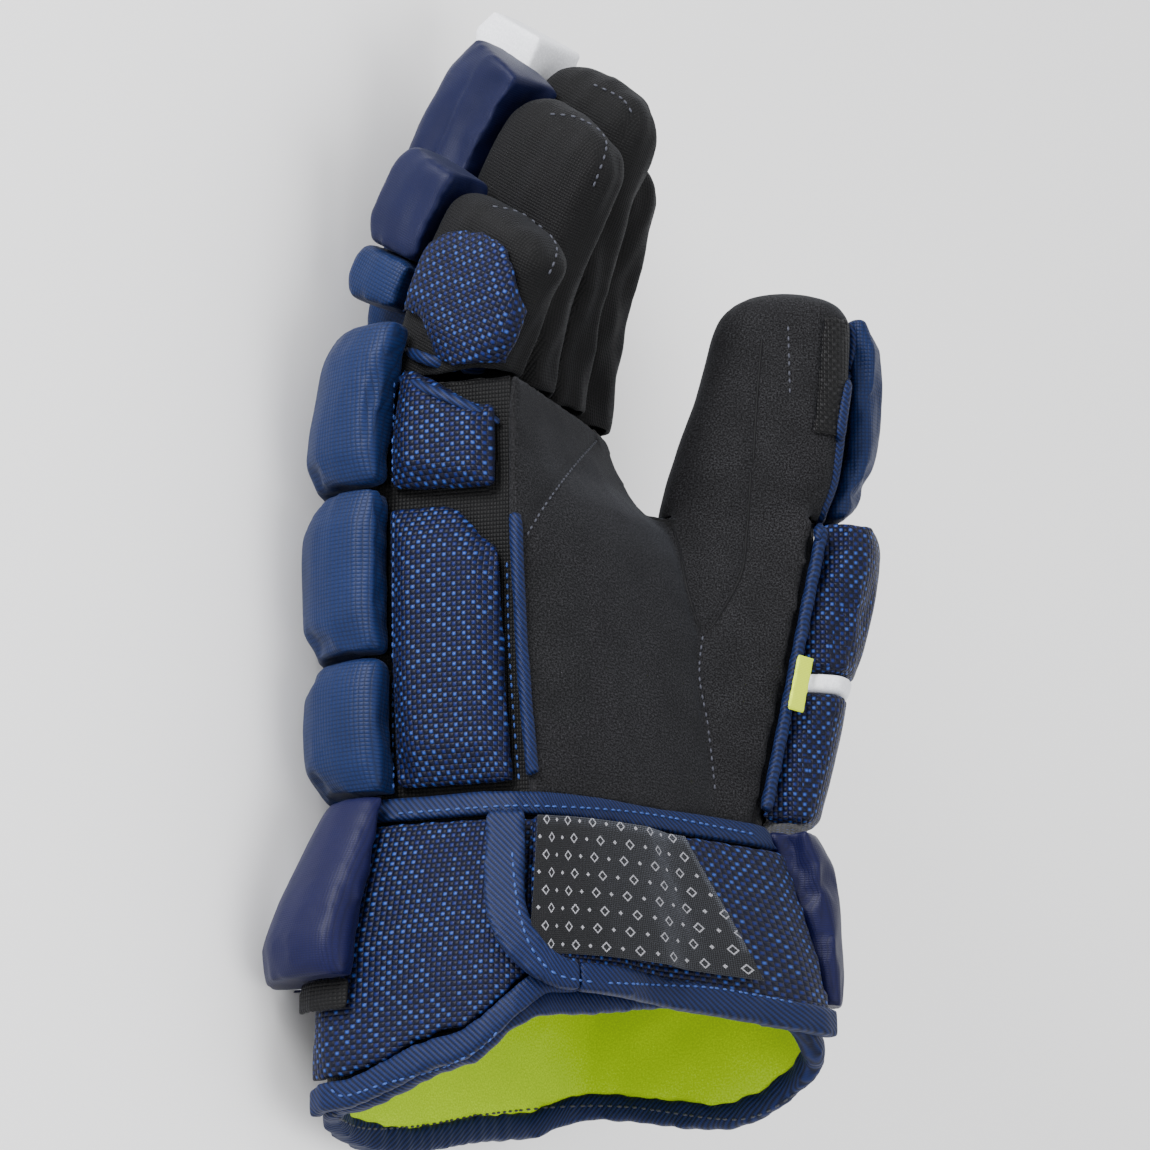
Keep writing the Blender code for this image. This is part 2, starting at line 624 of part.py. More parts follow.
def build_cuff():
    top = CUFF_LENGTH - SEAM_GAP

    def lining(turn, share, depth):
        low = rim_back(turn) + BINDING_WIDTH + SEAM_GAP
        return cuff_place(turn, mix(low, top, share), depth)
    ring("cuff_lining", "lime_lining", lining, 34, 4, -LINING_WALL, 0.0)

    def rim(turn, share, depth):
        low = rim_back(turn)
        return cuff_place(turn, mix(low, low + BINDING_WIDTH - SEAM_GAP, share), depth)
    ring("rim_binding", "navy_tape", rim, 34, 1, -LINING_WALL * 1.2, LINING_WALL * 0.4)

    band_low = CUFF_LENGTH - BINDING_WIDTH
    band = strip(cuff_place, 3.06, 4.92, band_low, top - SEAM_GAP)
    panel("cuff_band", "navy_tape", band, 18, 1, LAYER_GAP, BAND, edge=0.8)

    flap_top = band_low - SEAM_GAP
    hem = BINDING_WIDTH
    lip = LINING_WALL * 0.4 + LAYER_GAP

    def pinky_hem(here):
        turn = here - 4.0
        return rim_back(turn) + CUFF_LENGTH * mix(0.005, 0.06, ramp(turn, 0.14, -0.02))
    pinky_start, pinky_end = 3.90, 4.93
    flap = strip(cuff_place, pinky_end, pinky_start, lambda here: pinky_hem(here) + hem + SEAM_GAP * 1.6, flap_top)
    panel("pinky_flap", "navy_mesh", flap, 11, 4, lip, lip + FLAP, edge=0.85)
    flap_edge = strip(cuff_place, pinky_end, pinky_start, pinky_hem, lambda here: pinky_hem(here) + hem)
    panel("pinky_flap_binding", "navy_tape", flap_edge, 11, 1, lip, lip + FLAP * 1.1, edge=0.9)

    def front_hem(here):
        return CUFF_LENGTH * mix(0.37, 0.40, ramp(here, 3.0, 3.9))
    over = lip + FLAP * 1.1 + LAYER_GAP

    front_start, front_end, front_steps = 3.06, 4.17, 12
    # The lower corner on the pinky side is a quarter of an oval, with the binding round it
    corner_turn, corner_high, edge_turn = 0.25, CUFF_LENGTH * 0.30, 0.105
    corner_from = front_end - corner_turn
    corner_low = front_hem(corner_from)

    def front_low(here):
        clear = hem + SEAM_GAP * 2
        if here <= corner_from:
            return front_hem(here) + clear
        share = min((here - corner_from) / (corner_turn - edge_turn), 1.0)
        return corner_low + corner_high - (corner_high - clear) * math.sqrt(1.0 - share * share)

    def front_turn(across):
        # Closer columns by the round corner
        return mix(front_end - edge_turn - 0.016, front_start, across ** 1.5)

    def front(across, along, depth):
        here = front_turn(across)
        return cuff_place(here, mix(front_low(here), flap_top, along), depth)

    def front_lift(more):
        def depth(across, _along):
            return mix(lip, over, ramp(front_turn(across), 3.68, 3.82)) + more
        return depth
    panel("front_flap", "navy_mesh", front, front_steps + 1, 3, front_lift(0.0), front_lift(FLAP))

    def front_edge(across, along, depth):
        here = mix(corner_from, front_start, across)
        return cuff_place(here, front_hem(here) + hem * along, depth)

    def edge_lift(more):
        def depth(across, _along):
            return mix(lip, over, ramp(mix(corner_from, front_start, across), 3.68, 3.82)) + more
        return depth
    panel("front_flap_binding", "navy_tape", front_edge, front_steps, 1, edge_lift(0.0), edge_lift(FLAP * 1.15))

    def side_edge(across, along, depth):
        wide = corner_turn - edge_turn * across
        tall = corner_high - hem * across
        bend = 0.62
        angle = math.pi / 2 * min(along / bend, 1.0)
        rise = max(along - bend, 0.0) / (1.0 - bend)
        height = corner_low + corner_high - tall * math.cos(angle)
        here = corner_from + 0.006 + wide * math.sin(angle)
        return cuff_place(here, mix(height, flap_top, rise), depth)
    panel("front_flap_side_binding", "navy_tape", side_edge, 1, 10, over, over + FLAP * 1.15)

    patch_steps = 8
    column = (front_end - front_start) / front_steps
    patch_start, patch_end = front_end - column * 1.75, front_end - column * (patch_steps + 1)
    patch_low, patch_high = CUFF_LENGTH * 0.50, CUFF_LENGTH * 0.905
    patch_lean = 0.17

    def patch(across, along, depth):
        here = mix(patch_start, patch_end + patch_lean * along, across)
        return cuff_place(here, mix(patch_low, patch_high, along), depth)

    def on_flap(more):
        def depth(across, along):
            here = mix(patch_start, patch_end + patch_lean * along, across)
            return mix(lip, over, ramp(here, 3.56, 3.70)) + FLAP + more
        return depth
    patch_gap = LAYER_GAP * 1.15
    panel("front_patch", "black_nylon", patch, patch_steps, 4, on_flap(patch_gap), on_flap(patch_gap + PATCH))


def build_cuff_roll():
    # The roll wraps the back of the cuff, from low on the pinky side to the thumb corner
    start, end = 0.70, 3.02
    flap_out = LINING_WALL * 0.4 + LAYER_GAP + FLAP * 1.1
    low, high = CUFF_LENGTH * 0.47, CUFF_LENGTH * 0.985

    def clear(place):
        return mix(flap_out + LAYER_GAP, LAYER_GAP * 1.5, ramp(place, 0.95, 1.02))
    stripe, split = 1.06, 2.30
    stripe_turn = STRIPE_WIDTH / BACK_UNIT
    gap = 0.006
    parts = (("pinky_cuff_pad", "navy_smooth", start, stripe - gap, 5),
             ("cuff_roll_stripe", "white_vinyl", stripe, stripe + stripe_turn, 1),
             ("cuff_roll", "navy_smooth", stripe + stripe_turn + gap, split, 12),
             ("thumb_cuff_pad", "navy_smooth", split + gap * 2, end, 8))
    for name, finish, first, last, steps in parts:
        def inner(across, along, first=first, last=last):
            return clear(mix(first, last, across))

        def outer(across, along, first=first, last=last):
            here = mix(first, last, across)
            ends = math.sqrt(max(1.0 - abs(2.0 * (here - start) / (end - start) - 1.0) ** 14, 0.0))
            wrist = mix(0.62, 1.10, ramp(here, 2.4, 2.9))
            rim = mix(1.00, 0.62, ramp(here, 2.4, 2.9))
            deep = CUFF_ROLL * mix(rim, wrist, ramp(along, 0.1, 1.0))
            return max(clear(here) + 0.003, deep * mix(0.80, 1.0, ends))
        place = strip(cuff_place, first, last, low, high)
        panel(name, finish, place, steps, 5, inner, outer, edge=0.86, rests=True)

    elastic_low = CUFF_LENGTH * 0.37
    for name, first, last, out in (("pinky_elastic", 0.72, 0.92, flap_out + LAYER_GAP),
                                   ("thumb_elastic", 2.62, 2.88, LAYER_GAP * 1.5)):
        place = strip(cuff_place, first, last, elastic_low, low - SEAM_GAP)
        panel(name, "black_nylon", place, 3, 1, out, out + 0.0025)


def centre_on_floor():
    # Moves the whole glove so that the middle of its box stands at the origin, on the floor
    bpy.context.view_layer.update()
    low = Vector((1e9, 1e9, 1e9))
    high = Vector((-1e9, -1e9, -1e9))
    graph = bpy.context.evaluated_depsgraph_get()
    for item in bpy.data.objects:
        if item.type not in {"MESH", "CURVE"}:
            continue
        shape = item.evaluated_get(graph)
        mesh = shape.to_mesh()
        for vert in mesh.vertices:
            spot = shape.matrix_world @ vert.co
            low = Vector(map(min, low, spot))
            high = Vector(map(max, high, spot))
        shape.to_mesh_clear()
    root = bpy.data.objects["glove"]
    root.location = (-(low.x + high.x) / 2, -(low.y + high.y) / 2, -low.z)
    bpy.context.view_layer.update()


def main():
    clear_scene()
    root = bpy.data.objects.new("glove", None)
    bpy.context.scene.collection.objects.link(root)
    build_hand()
    build_stalls()
    build_finger_rolls()
    build_back_pads()
    build_side_pads()
    build_pinky_gusset()
    build_thumb_pads()
    build_bindings()
    build_cuff()
    build_cuff_roll()
    centre_on_floor()


main()
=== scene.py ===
import math

import bmesh
import bpy
import numpy as np
from mathutils import Matrix, Vector, noise
from mathutils.bvhtree import BVHTree
from mathutils.kdtree import KDTree


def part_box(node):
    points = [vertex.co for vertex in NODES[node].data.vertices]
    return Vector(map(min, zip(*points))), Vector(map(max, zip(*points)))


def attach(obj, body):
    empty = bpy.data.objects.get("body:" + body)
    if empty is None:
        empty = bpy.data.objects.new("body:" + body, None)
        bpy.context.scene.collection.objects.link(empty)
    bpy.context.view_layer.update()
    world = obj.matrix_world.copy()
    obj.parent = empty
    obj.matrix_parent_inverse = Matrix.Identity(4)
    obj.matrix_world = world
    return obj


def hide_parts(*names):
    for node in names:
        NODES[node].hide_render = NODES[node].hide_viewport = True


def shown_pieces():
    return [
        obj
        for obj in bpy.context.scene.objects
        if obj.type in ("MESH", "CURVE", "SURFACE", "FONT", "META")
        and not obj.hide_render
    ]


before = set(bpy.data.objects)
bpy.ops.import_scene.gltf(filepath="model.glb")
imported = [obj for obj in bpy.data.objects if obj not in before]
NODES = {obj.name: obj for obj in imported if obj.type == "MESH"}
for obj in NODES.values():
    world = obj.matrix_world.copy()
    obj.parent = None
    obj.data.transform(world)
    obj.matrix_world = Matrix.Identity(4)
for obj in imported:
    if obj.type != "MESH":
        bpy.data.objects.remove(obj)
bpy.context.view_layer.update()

SCENE = bpy.context.scene

# The photo's camera: where it stands round the glove, and metres per pixel of the photo
VIEW_TURN = math.radians(55)
VIEW_RISE = math.radians(12)
VIEW_DISTANCE = 1.9
PHOTO_SIDE = 1150
PIXEL = 0.0003014
# From the rim's lowest point in the photo to the middle of the glove
MIDDLE_SHIFT = Vector((-0.01338, -0.18110, 0.0))
RIM_PIXEL = (390, 1142)
RIM_RISE = 0.0087

OUT = Vector((-math.sin(VIEW_TURN) * math.cos(VIEW_RISE), -math.sin(VIEW_RISE),
              math.cos(VIEW_TURN) * math.cos(VIEW_RISE)))
RIGHT = Vector((math.cos(VIEW_TURN), 0.0, math.sin(VIEW_TURN)))
UP = OUT.cross(RIGHT)
HALF_SIDE = PHOTO_SIDE / 2
TARGET = (RIGHT * (HALF_SIDE - RIM_PIXEL[0]) * PIXEL
          + UP * (RIM_RISE + (RIM_PIXEL[1] - HALF_SIDE) * PIXEL) + MIDDLE_SHIFT)
EYE = TARGET + OUT * VIEW_DISTANCE

# Half sizes and middle of the box that the cloth of hand and cuff is wrapped round
WRAP_MIDDLE = Vector((-0.008, 0.0, 0.058))
WRAP_HALF = (0.058, 0.036)
THUMB_TURN = math.radians(55)
FINGER_RISE = math.radians(32)
WELD = 0.00001

# Voxel sizes of the soft pieces, in metres
PAD_VOXEL = 0.0025
SHELL_VOXEL = 0.0024
SUEDE_VOXEL = 0.0022
STALL_VOXEL = 0.0023
LINING_VOXEL = 0.0029
RIM_VOXEL = 0.0019
FLAP_VOXEL = 0.0020
TAPE_VOXEL = 0.0015
SMALL_VOXEL = 0.0014
BINDING_VOXEL = 0.0012
INSET_VOXEL = 0.0009
TAG_VOXEL = 0.0006

# The grooves that are pressed in along the suede's seams, in metres
GROOVE_WIDTH = 0.0034
GROOVE_DEPTH = 0.0009


# Shapes

def evaluated_copy(body):
    # The mesh of a body with its modifiers applied
    shown = body.evaluated_get(bpy.context.evaluated_depsgraph_get())
    return bpy.data.meshes.new_from_object(shown)


def new_body(name, bm):
    mesh = bpy.data.meshes.new(name)
    bm.to_mesh(mesh)
    bm.free()
    body = bpy.data.objects.new(name, mesh)
    SCENE.collection.objects.link(body)
    return body


def copied(name, nodes):
    # One body from copies of CAD nodes, with their split corners welded
    bm = bmesh.new()
    for node in nodes:
        bm.from_mesh(NODES[node].data)
    bmesh.ops.remove_doubles(bm, verts=bm.verts[:], dist=WELD)
    return new_body(name, bm)


def swell(body, amount):
    # Moves the skin out along its normals by an amount, or by a function of place and normal
    bm = bmesh.new()
    bm.from_mesh(body.data)
    bm.normal_update()
    moves = [vert.normal * (amount(vert.co, vert.normal) if callable(amount) else amount)
             for vert in bm.verts]
    for vert, move in zip(bm.verts, moves):
        vert.co += move
    bm.to_mesh(body.data)
    bm.free()


def relax(body, times, factor=0.5):
    bm = bmesh.new()
    bm.from_mesh(body.data)
    for _ in range(times):
        bmesh.ops.smooth_vert(bm, verts=bm.verts[:], factor=factor,
                              use_axis_x=True, use_axis_y=True, use_axis_z=True)
    bm.to_mesh(body.data)
    bm.free()


def remesh(body, size):
    rebuild = body.modifiers.new("Remesh", "REMESH")
    rebuild.mode = "VOXEL"
    rebuild.voxel_size = size
    rebuild.adaptivity = 0.0
    mesh = evaluated_copy(body)
    body.modifiers.clear()
    body.data = mesh


def keep_above_floor(body):
    bm = bmesh.new()
    bm.from_mesh(body.data)
    for vert in bm.verts:
        vert.co.z = max(vert.co.z, 0.0)
    bm.to_mesh(body.data)
    bm.free()


def soft(name, nodes, size, smooth=2, grow=0.0, shrink=0.0):
    # A soft piece: copies of CAD nodes, grown, joined by a voxel remesh, smoothed and shrunk back
    body = copied(name, nodes)
    if grow:
        swell(body, grow)
    remesh(body, size)
    relax(body, smooth)
    if shrink:
        swell(body, -shrink)
    return body


def reach_down(body, top, share):
    # Lengthens a body away from its top, so that its low edge goes in behind the binding
    bm = bmesh.new()
    bm.from_mesh(body.data)
    for vert in bm.verts:
        vert.co.y = top - (top - vert.co.y) * share
    bm.to_mesh(body.data)
    bm.free()


def reach_low(body, zone, amount):
    # Draws out only the low edge of a body, by an amount at its very end
    bm = bmesh.new()
    bm.from_mesh(body.data)
    low = min(vert.co.y for vert in bm.verts)
    for vert in bm.verts:
        vert.co.y -= amount * max(1.0 - (vert.co.y - low) / zone, 0.0)
    bm.to_mesh(body.data)
    bm.free()


def ripple(place, along, across, size, stretch, seed=0.0):
    # Folds that run along one direction: noise that is stretched along it
    u = place.dot(across) / size
    v = place.dot(along) / (size * stretch)
    w = place.dot(along.cross(across)) / size
    return noise.noise(Vector((u + seed, v + seed * 1.7, w)))


def near_lines(points):
    tree = KDTree(len(points))
    for index, point in enumerate(points):
        tree.insert(point, index)
    tree.balance()
    return tree


def carve(body, points, width, depth):
    # Presses a soft groove into a body along points on its skin
    tree = near_lines(points)

    def dent(place, _normal):
        away = tree.find(place)[2]
        return -depth * max(1.0 - (away / width) ** 2, 0.0) ** 2
    swell(body, dent)


# Cloth coordinates

def wrap_place(place):
    # Cloth coordinates round the hand and cuff: along a box's outline, and along the glove
    a, b = WRAP_HALF
    x = place.x - WRAP_MIDDLE.x
    z = place.z - WRAP_MIDDLE.z
    scale = max(abs(x) / a, abs(z) / b, 0.000001)
    x, z = x / scale, z / scale
    if abs(z) >= b * 0.99999 and z < 0:
        return a - x, place.y
    if abs(x) >= a * 0.99999 and x < 0:
        return 2 * a + z + b, place.y
    if z > 0 and abs(z) >= b * 0.99999:
        return 3 * a + 2 * b + x, place.y
    return 4 * a + 3 * b - z, place.y


def wrap_cloth(body):
    layer = body.data.uv_layers.new(name="cloth")
    whole = 4 * (WRAP_HALF[0] + WRAP_HALF[1])
    for face in body.data.polygons:
        pairs = [wrap_place(body.data.vertices[index].co) for index in face.vertices]
        top = max(pair[0] for pair in pairs)
        for loop, (u, v) in zip(face.loop_indices, pairs):
            layer.data[loop].uv = (u + whole if top - u > whole / 2 else u, v)


def box_cloth(body, side, along, face_out):
    # Cloth coordinates from the direction that each face looks in
    layer = body.data.uv_layers.new(name="cloth")
    for face in body.data.polygons:
        shares = (abs(face.normal.dot(side)), abs(face.normal.dot(along)), abs(face.normal.dot(face_out)))
        widest = shares.index(max(shares))
        for loop, index in zip(face.loop_indices, face.vertices):
            place = body.data.vertices[index].co
            if widest == 0:
                layer.data[loop].uv = (place.dot(face_out), place.dot(along))
            elif widest == 1:
                layer.data[loop].uv = (place.dot(side), place.dot(face_out))
            else:
                layer.data[loop].uv = (place.dot(side), place.dot(along))


def finger_cloth(body):
    along = Vector((0.0, math.cos(FINGER_RISE), math.sin(FINGER_RISE)))
    box_cloth(body, Vector((1.0, 0.0, 0.0)), along, Vector((1.0, 0.0, 0.0)).cross(along))


def thumb_cloth(body):
    side = Vector((math.cos(THUMB_TURN), 0.0, math.sin(THUMB_TURN)))
    along = Vector((0.0, 1.0, 0.0))
    box_cloth(body, side, along, side.cross(along))


# Materials

def srgb(red, green, blue):
    def linear(value):
        share = value / 255
        return share / 12.92 if share <= 0.04045 else ((share + 0.055) / 1.055) ** 2.4
    return (linear(red), linear(green), linear(blue), 1.0)


def add(tree, kind, **values):
    node = tree.nodes.new(kind)
    for key, value in values.items():
        setattr(node, key, value)
    return node


def give(tree, socket, term):
    if isinstance(term, bpy.types.NodeSocket):
        tree.links.new(term, socket)
    elif term is not None:
        socket.default_value = term


def calc(tree, operation, *terms, clamp=False):
    node = add(tree, "ShaderNodeMath", operation=operation, use_clamp=clamp)
    for socket, term in zip(node.inputs, terms):
        give(tree, socket, term)
    return node.outputs[0]


def blend_colour(tree, share, first, second):
    node = add(tree, "ShaderNodeMix", data_type="RGBA")
    give(tree, node.inputs[0], share)
    give(tree, node.inputs[6], first)
    give(tree, node.inputs[7], second)
    return node.outputs[2]


def noise_value(tree, vector, scale, detail=2.0, rough=0.5):
    node = add(tree, "ShaderNodeTexNoise")
    give(tree, node.inputs["Vector"], vector)
    node.inputs["Scale"].default_value = scale
    node.inputs["Detail"].default_value = detail
    node.inputs["Roughness"].default_value = rough
    return node.outputs["Fac"]


def new_group(name, inputs, outputs):
    group = bpy.data.node_groups.new(name, "ShaderNodeTree")
    for title, kind, value in inputs:
        socket = group.interface.new_socket(title, in_out="INPUT", socket_type=kind)
        if value is not None:
            socket.default_value = value
    for title in outputs:
        group.interface.new_socket(title, in_out="OUTPUT", socket_type="NodeSocketFloat")
    return group, add(group, "NodeGroupInput"), add(group, "NodeGroupOutput")


def cells(tree, source):
    # Cloth coordinates counted in cells
    split = add(tree, "ShaderNodeSeparateXYZ")
    give(tree, split.inputs[0], source.outputs["Cloth"])
    u = calc(tree, "DIVIDE", split.outputs[0], source.outputs["Cell"])
    v = calc(tree, "DIVIDE", split.outputs[1], source.outputs["Cell"])
    return u, v


def weave_group():
    # Plain weave: a bump on each crossing, the thread on top and a random value for each crossing
    group, source, target = new_group(
        "plain_weave", [("Cloth", "NodeSocketVector", None), ("Cell", "NodeSocketFloat", 0.002)],
        ["Height", "Thread", "Chance"])
    u, v = cells(group, source)
    across = calc(group, "SINE", calc(group, "MULTIPLY", u, math.pi))
    along = calc(group, "SINE", calc(group, "MULTIPLY", v, math.pi))
    crossing = calc(group, "MULTIPLY", across, along)
    height = calc(group, "POWER", calc(group, "ABSOLUTE", crossing), 0.55)
    cell = add(group, "ShaderNodeCombineXYZ")
    give(group, cell.inputs[0], calc(group, "FLOOR", u))
    give(group, cell.inputs[1], calc(group, "FLOOR", v))
    chance = add(group, "ShaderNodeTexWhiteNoise", noise_dimensions="2D")
    give(group, chance.inputs["Vector"], cell.outputs[0])
    give(group, target.inputs["Height"], height)
    give(group, target.inputs["Thread"], calc(group, "MULTIPLY", crossing, 1.0, clamp=True))
    give(group, target.inputs["Chance"], chance.outputs["Value"])
    return group


def twill_group():
    # Twill tape: slanting ridges, crossed by fine threads
    group, source, target = new_group(
        "twill", [("Cloth", "NodeSocketVector", None), ("Cell", "NodeSocketFloat", 0.001)], ["Height"])
    u, v = cells(group, source)
    slant = calc(group, "SINE", calc(group, "MULTIPLY", calc(group, "ADD", u, v), math.pi))
    fine = calc(group, "SINE", calc(group, "MULTIPLY", calc(group, "SUBTRACT", u, v), math.tau))
    both = calc(group, "MULTIPLY_ADD", fine, 0.25, slant)
    give(group, target.inputs["Height"], calc(group, "MULTIPLY_ADD", both, 0.4, 0.5))
    return group


def nap_group():
    # Brushed nap: fine grains, and larger soft clouds
    group, source, target = new_group(
        "nap", [("Cloth", "NodeSocketVector", None), ("Cell", "NodeSocketFloat", 0.0005)], ["Grain", "Cloud"])
    scaled = add(group, "ShaderNodeVectorMath", operation="SCALE")
    give(group, scaled.inputs[0], source.outputs["Cloth"])
    give(group, scaled.inputs["Scale"], calc(group, "DIVIDE", 1.0, source.outputs["Cell"]))
    give(group, target.inputs["Grain"], noise_value(group, scaled.outputs[0], 1.0, 3.0, 0.65))
    give(group, target.inputs["Cloud"], noise_value(group, scaled.outputs[0], 0.05, 2.0))
    return group


def motif_group():
    # Woven motifs in staggered rows: open diamonds and small dots by turns
    group, source, target = new_group(
        "motifs", [("Cloth", "NodeSocketVector", None), ("Cell", "NodeSocketFloat", 0.0054)], ["Mark"])
    u, v = cells(group, source)
    row = calc(group, "FLOOR", v)
    odd = calc(group, "FRACT", calc(group, "MULTIPLY", row, 0.5))
    shifted = calc(group, "ADD", u, odd)
    s = calc(group, "ABSOLUTE", calc(group, "SUBTRACT", calc(group, "FRACT", shifted), 0.5))
    t = calc(group, "ABSOLUTE", calc(group, "SUBTRACT", calc(group, "FRACT", v), 0.5))
    away = calc(group, "ADD", s, t)
    ring = calc(group, "LESS_THAN", calc(group, "ABSOLUTE", calc(group, "SUBTRACT", away, 0.25)), 0.052)
    dot = calc(group, "LESS_THAN", away, 0.13)
    turn = calc(group, "GREATER_THAN", calc(group, "FRACT", calc(group, "MULTIPLY", calc(
        group, "FLOOR", shifted), 0.5)), 0.25)
    mark = calc(group, "ADD", calc(group, "MULTIPLY", ring, turn),
                calc(group, "MULTIPLY", dot, calc(group, "SUBTRACT", 1.0, turn)), clamp=True)
    give(group, target.inputs["Mark"], mark)
    return group


WEAVE = weave_group()
TWILL = twill_group()
NAP = nap_group()
MOTIFS = motif_group()


def cloth_material(name, roughness, sheen):
    # A material with its cloth coordinates and its Principled shader
    made = bpy.data.materials.new(name)
    made.use_nodes = True
    tree = made.node_tree
    shader = tree.nodes["Principled BSDF"]
    shader.inputs["Roughness"].default_value = roughness
    shader.inputs["Sheen Weight"].default_value = sheen
    shader.inputs["Sheen Roughness"].default_value = 0.45
    shader.inputs["Sheen Tint"].default_value = (0.6, 0.65, 0.8, 1.0)
    shader.inputs["Specular IOR Level"].default_value = 0.14
    place = add(tree, "ShaderNodeUVMap", uv_map="cloth")
    return made, tree, shader, place.outputs[0]


def use_group(tree, group, place, cell):
    node = add(tree, "ShaderNodeGroup", node_tree=group)
    give(tree, node.inputs["Cloth"], place)
    node.inputs["Cell"].default_value = cell
    return node


def bumped(tree, shader, height, distance, strength=1.0):
    bump = add(tree, "ShaderNodeBump")
    bump.inputs["Distance"].default_value = distance
    bump.inputs["Strength"].default_value = strength
    give(tree, bump.inputs["Height"], height)
    give(tree, shader.inputs["Normal"], bump.outputs[0])


def mesh_material(name, dark, light, glint, cell, shine=0.35):
    # Coarse mesh: dark ground, lit threads and brighter glints here and there
    made, tree, shader, place = cloth_material(name, 0.48, 0.03)
    weave = use_group(tree, WEAVE, place, cell)
    cloud = noise_value(tree, place, 90.0)
    lit = calc(tree, "MULTIPLY", weave.outputs["Thread"],
               calc(tree, "MULTIPLY_ADD", cloud, 0.8, 0.45), clamp=True)
    ground = blend_colour(tree, lit, dark, light)
    spark = calc(tree, "MULTIPLY", calc(tree, "POWER", weave.outputs["Thread"], 2.0),
                 calc(tree, "GREATER_THAN", weave.outputs["Chance"], 1.0 - shine))
    colour = blend_colour(tree, calc(tree, "MULTIPLY", spark, 0.75), ground, glint)
    give(tree, shader.inputs["Base Color"], colour)
    bumped(tree, shader, weave.outputs["Height"], cell * 0.22)
    return made


def nylon_material(name, dark, light, cell, roughness=0.5, bump=0.10):
    # Fine woven nylon: small cells, softly clouded
    made, tree, shader, place = cloth_material(name, roughness, 0.03)
    weave = use_group(tree, WEAVE, place, cell)
    cloud = noise_value(tree, place, 45.0)
    lit = calc(tree, "MULTIPLY_ADD", weave.outputs["Height"], 0.55,
               calc(tree, "MULTIPLY", cloud, 0.4), clamp=True)
    give(tree, shader.inputs["Base Color"], blend_colour(tree, lit, dark, light))
    bumped(tree, shader, weave.outputs["Height"], cell * bump)
    return made


def tape_material(name, dark, light, cell):
    made, tree, shader, place = cloth_material(name, 0.55, 0.03)
    twill = use_group(tree, TWILL, place, cell)
    give(tree, shader.inputs["Base Color"], blend_colour(tree, twill.outputs["Height"], dark, light))
    bumped(tree, shader, twill.outputs["Height"], cell * 0.14)
    return made


def nap_material(name, dark, light, cell, roughness, sheen, bump=0.35):
    made, tree, shader, place = cloth_material(name, roughness, sheen)
    nap = use_group(tree, NAP, place, cell)
    grain = calc(tree, "MULTIPLY", calc(tree, "SUBTRACT", nap.outputs["Grain"], 0.42), 3.2, clamp=True)
    mixed = calc(tree, "MULTIPLY", grain,
                 calc(tree, "MULTIPLY_ADD", nap.outputs["Cloud"], 0.8, 0.4), clamp=True)
    give(tree, shader.inputs["Base Color"], blend_colour(tree, mixed, dark, light))
    bumped(tree, shader, nap.outputs["Grain"], cell * bump)
    return made


def patch_material(name, dark, mark, cell):
    made, tree, shader, place = cloth_material(name, 0.55, 0.15)
    motifs = use_group(tree, MOTIFS, place, cell)
    weave = use_group(tree, WEAVE, place, cell * 0.11)
    # The woven motif marks are the patch's own colour. Scaling them by the fine weave's height paints shade
    # into the weave's grooves and keeps the raised threads lighter.
    motif_with_painted_weave_shade = calc(tree, "MULTIPLY", motifs.outputs["Mark"],
                calc(tree, "MULTIPLY_ADD", weave.outputs["Height"], 0.5, 0.42))
    give(tree, shader.inputs["Base Color"], blend_colour(tree, motif_with_painted_weave_shade, dark, mark))
    bumped(tree, shader, calc(tree, "ADD", weave.outputs["Height"], motifs.outputs["Mark"]), cell * 0.03)
    return made


LOOKS = {
    "navy_mesh": mesh_material("look_navy_mesh", srgb(1, 3, 22), srgb(10, 26, 84), srgb(44, 76, 150),
                               0.0015, 0.40),
    "navy_nylon": nylon_material("look_navy_nylon", srgb(2, 8, 26), srgb(11, 31, 74), 0.0012),
    "navy_smooth": nylon_material("look_navy_smooth", srgb(2, 4, 25), srgb(9, 16, 54), 0.0007, 0.48, 0.06),
    "navy_roll": nylon_material("look_navy_roll", srgb(3, 4, 28), srgb(10, 12, 55), 0.0007, 0.48, 0.06),
    "navy_tape": tape_material("look_navy_tape", srgb(2, 6, 22), srgb(11, 27, 70), 0.0009),
    "black_suede": nap_material("look_black_suede", srgb(2, 2, 3), srgb(47, 47, 50), 0.00055, 0.85, 0.04),
    "black_knit": nylon_material("look_black_knit", srgb(1, 1, 2), srgb(14, 14, 15), 0.0009, 0.7, 0.25),
    "black_nylon": nylon_material("look_black_nylon", srgb(2, 2, 3), srgb(10, 10, 11), 0.0012, 0.6, 0.2),
    "black_patch": patch_material("look_black_patch", srgb(3, 3, 4), srgb(150, 150, 156), 0.0054),
    "black_inset": mesh_material("look_black_inset", srgb(2, 2, 3), srgb(18, 18, 19), srgb(34, 34, 36),
                                 0.0013),
    "lime_lining": nap_material("look_lime_lining", srgb(142, 176, 0), srgb(186, 216, 2),
                                0.0006, 0.8, 0.02, 0.2),
    "lime_tag": nylon_material("look_lime_tag", srgb(170, 200, 10), srgb(222, 240, 40), 0.0005, 0.6, 0.1),
    "white_vinyl": nap_material("look_white_vinyl", srgb(208, 210, 216), srgb(236, 237, 242),
                                0.0008, 0.55, 0.0, 0.1),
    # Painted seam shade: a near-black look for cords laid in the suede's seam grooves, so they read as shaded.
    "painted_seam_shade": nylon_material("look_thread_dark", srgb(3, 3, 4), srgb(12, 12, 15), 0.0003),
    "thread_grey": nylon_material("look_thread_grey", srgb(30, 31, 36), srgb(76, 78, 88), 0.0003),
    "thread_navy": nylon_material("look_thread_navy", srgb(20, 36, 84), srgb(62, 90, 158), 0.0003),
}


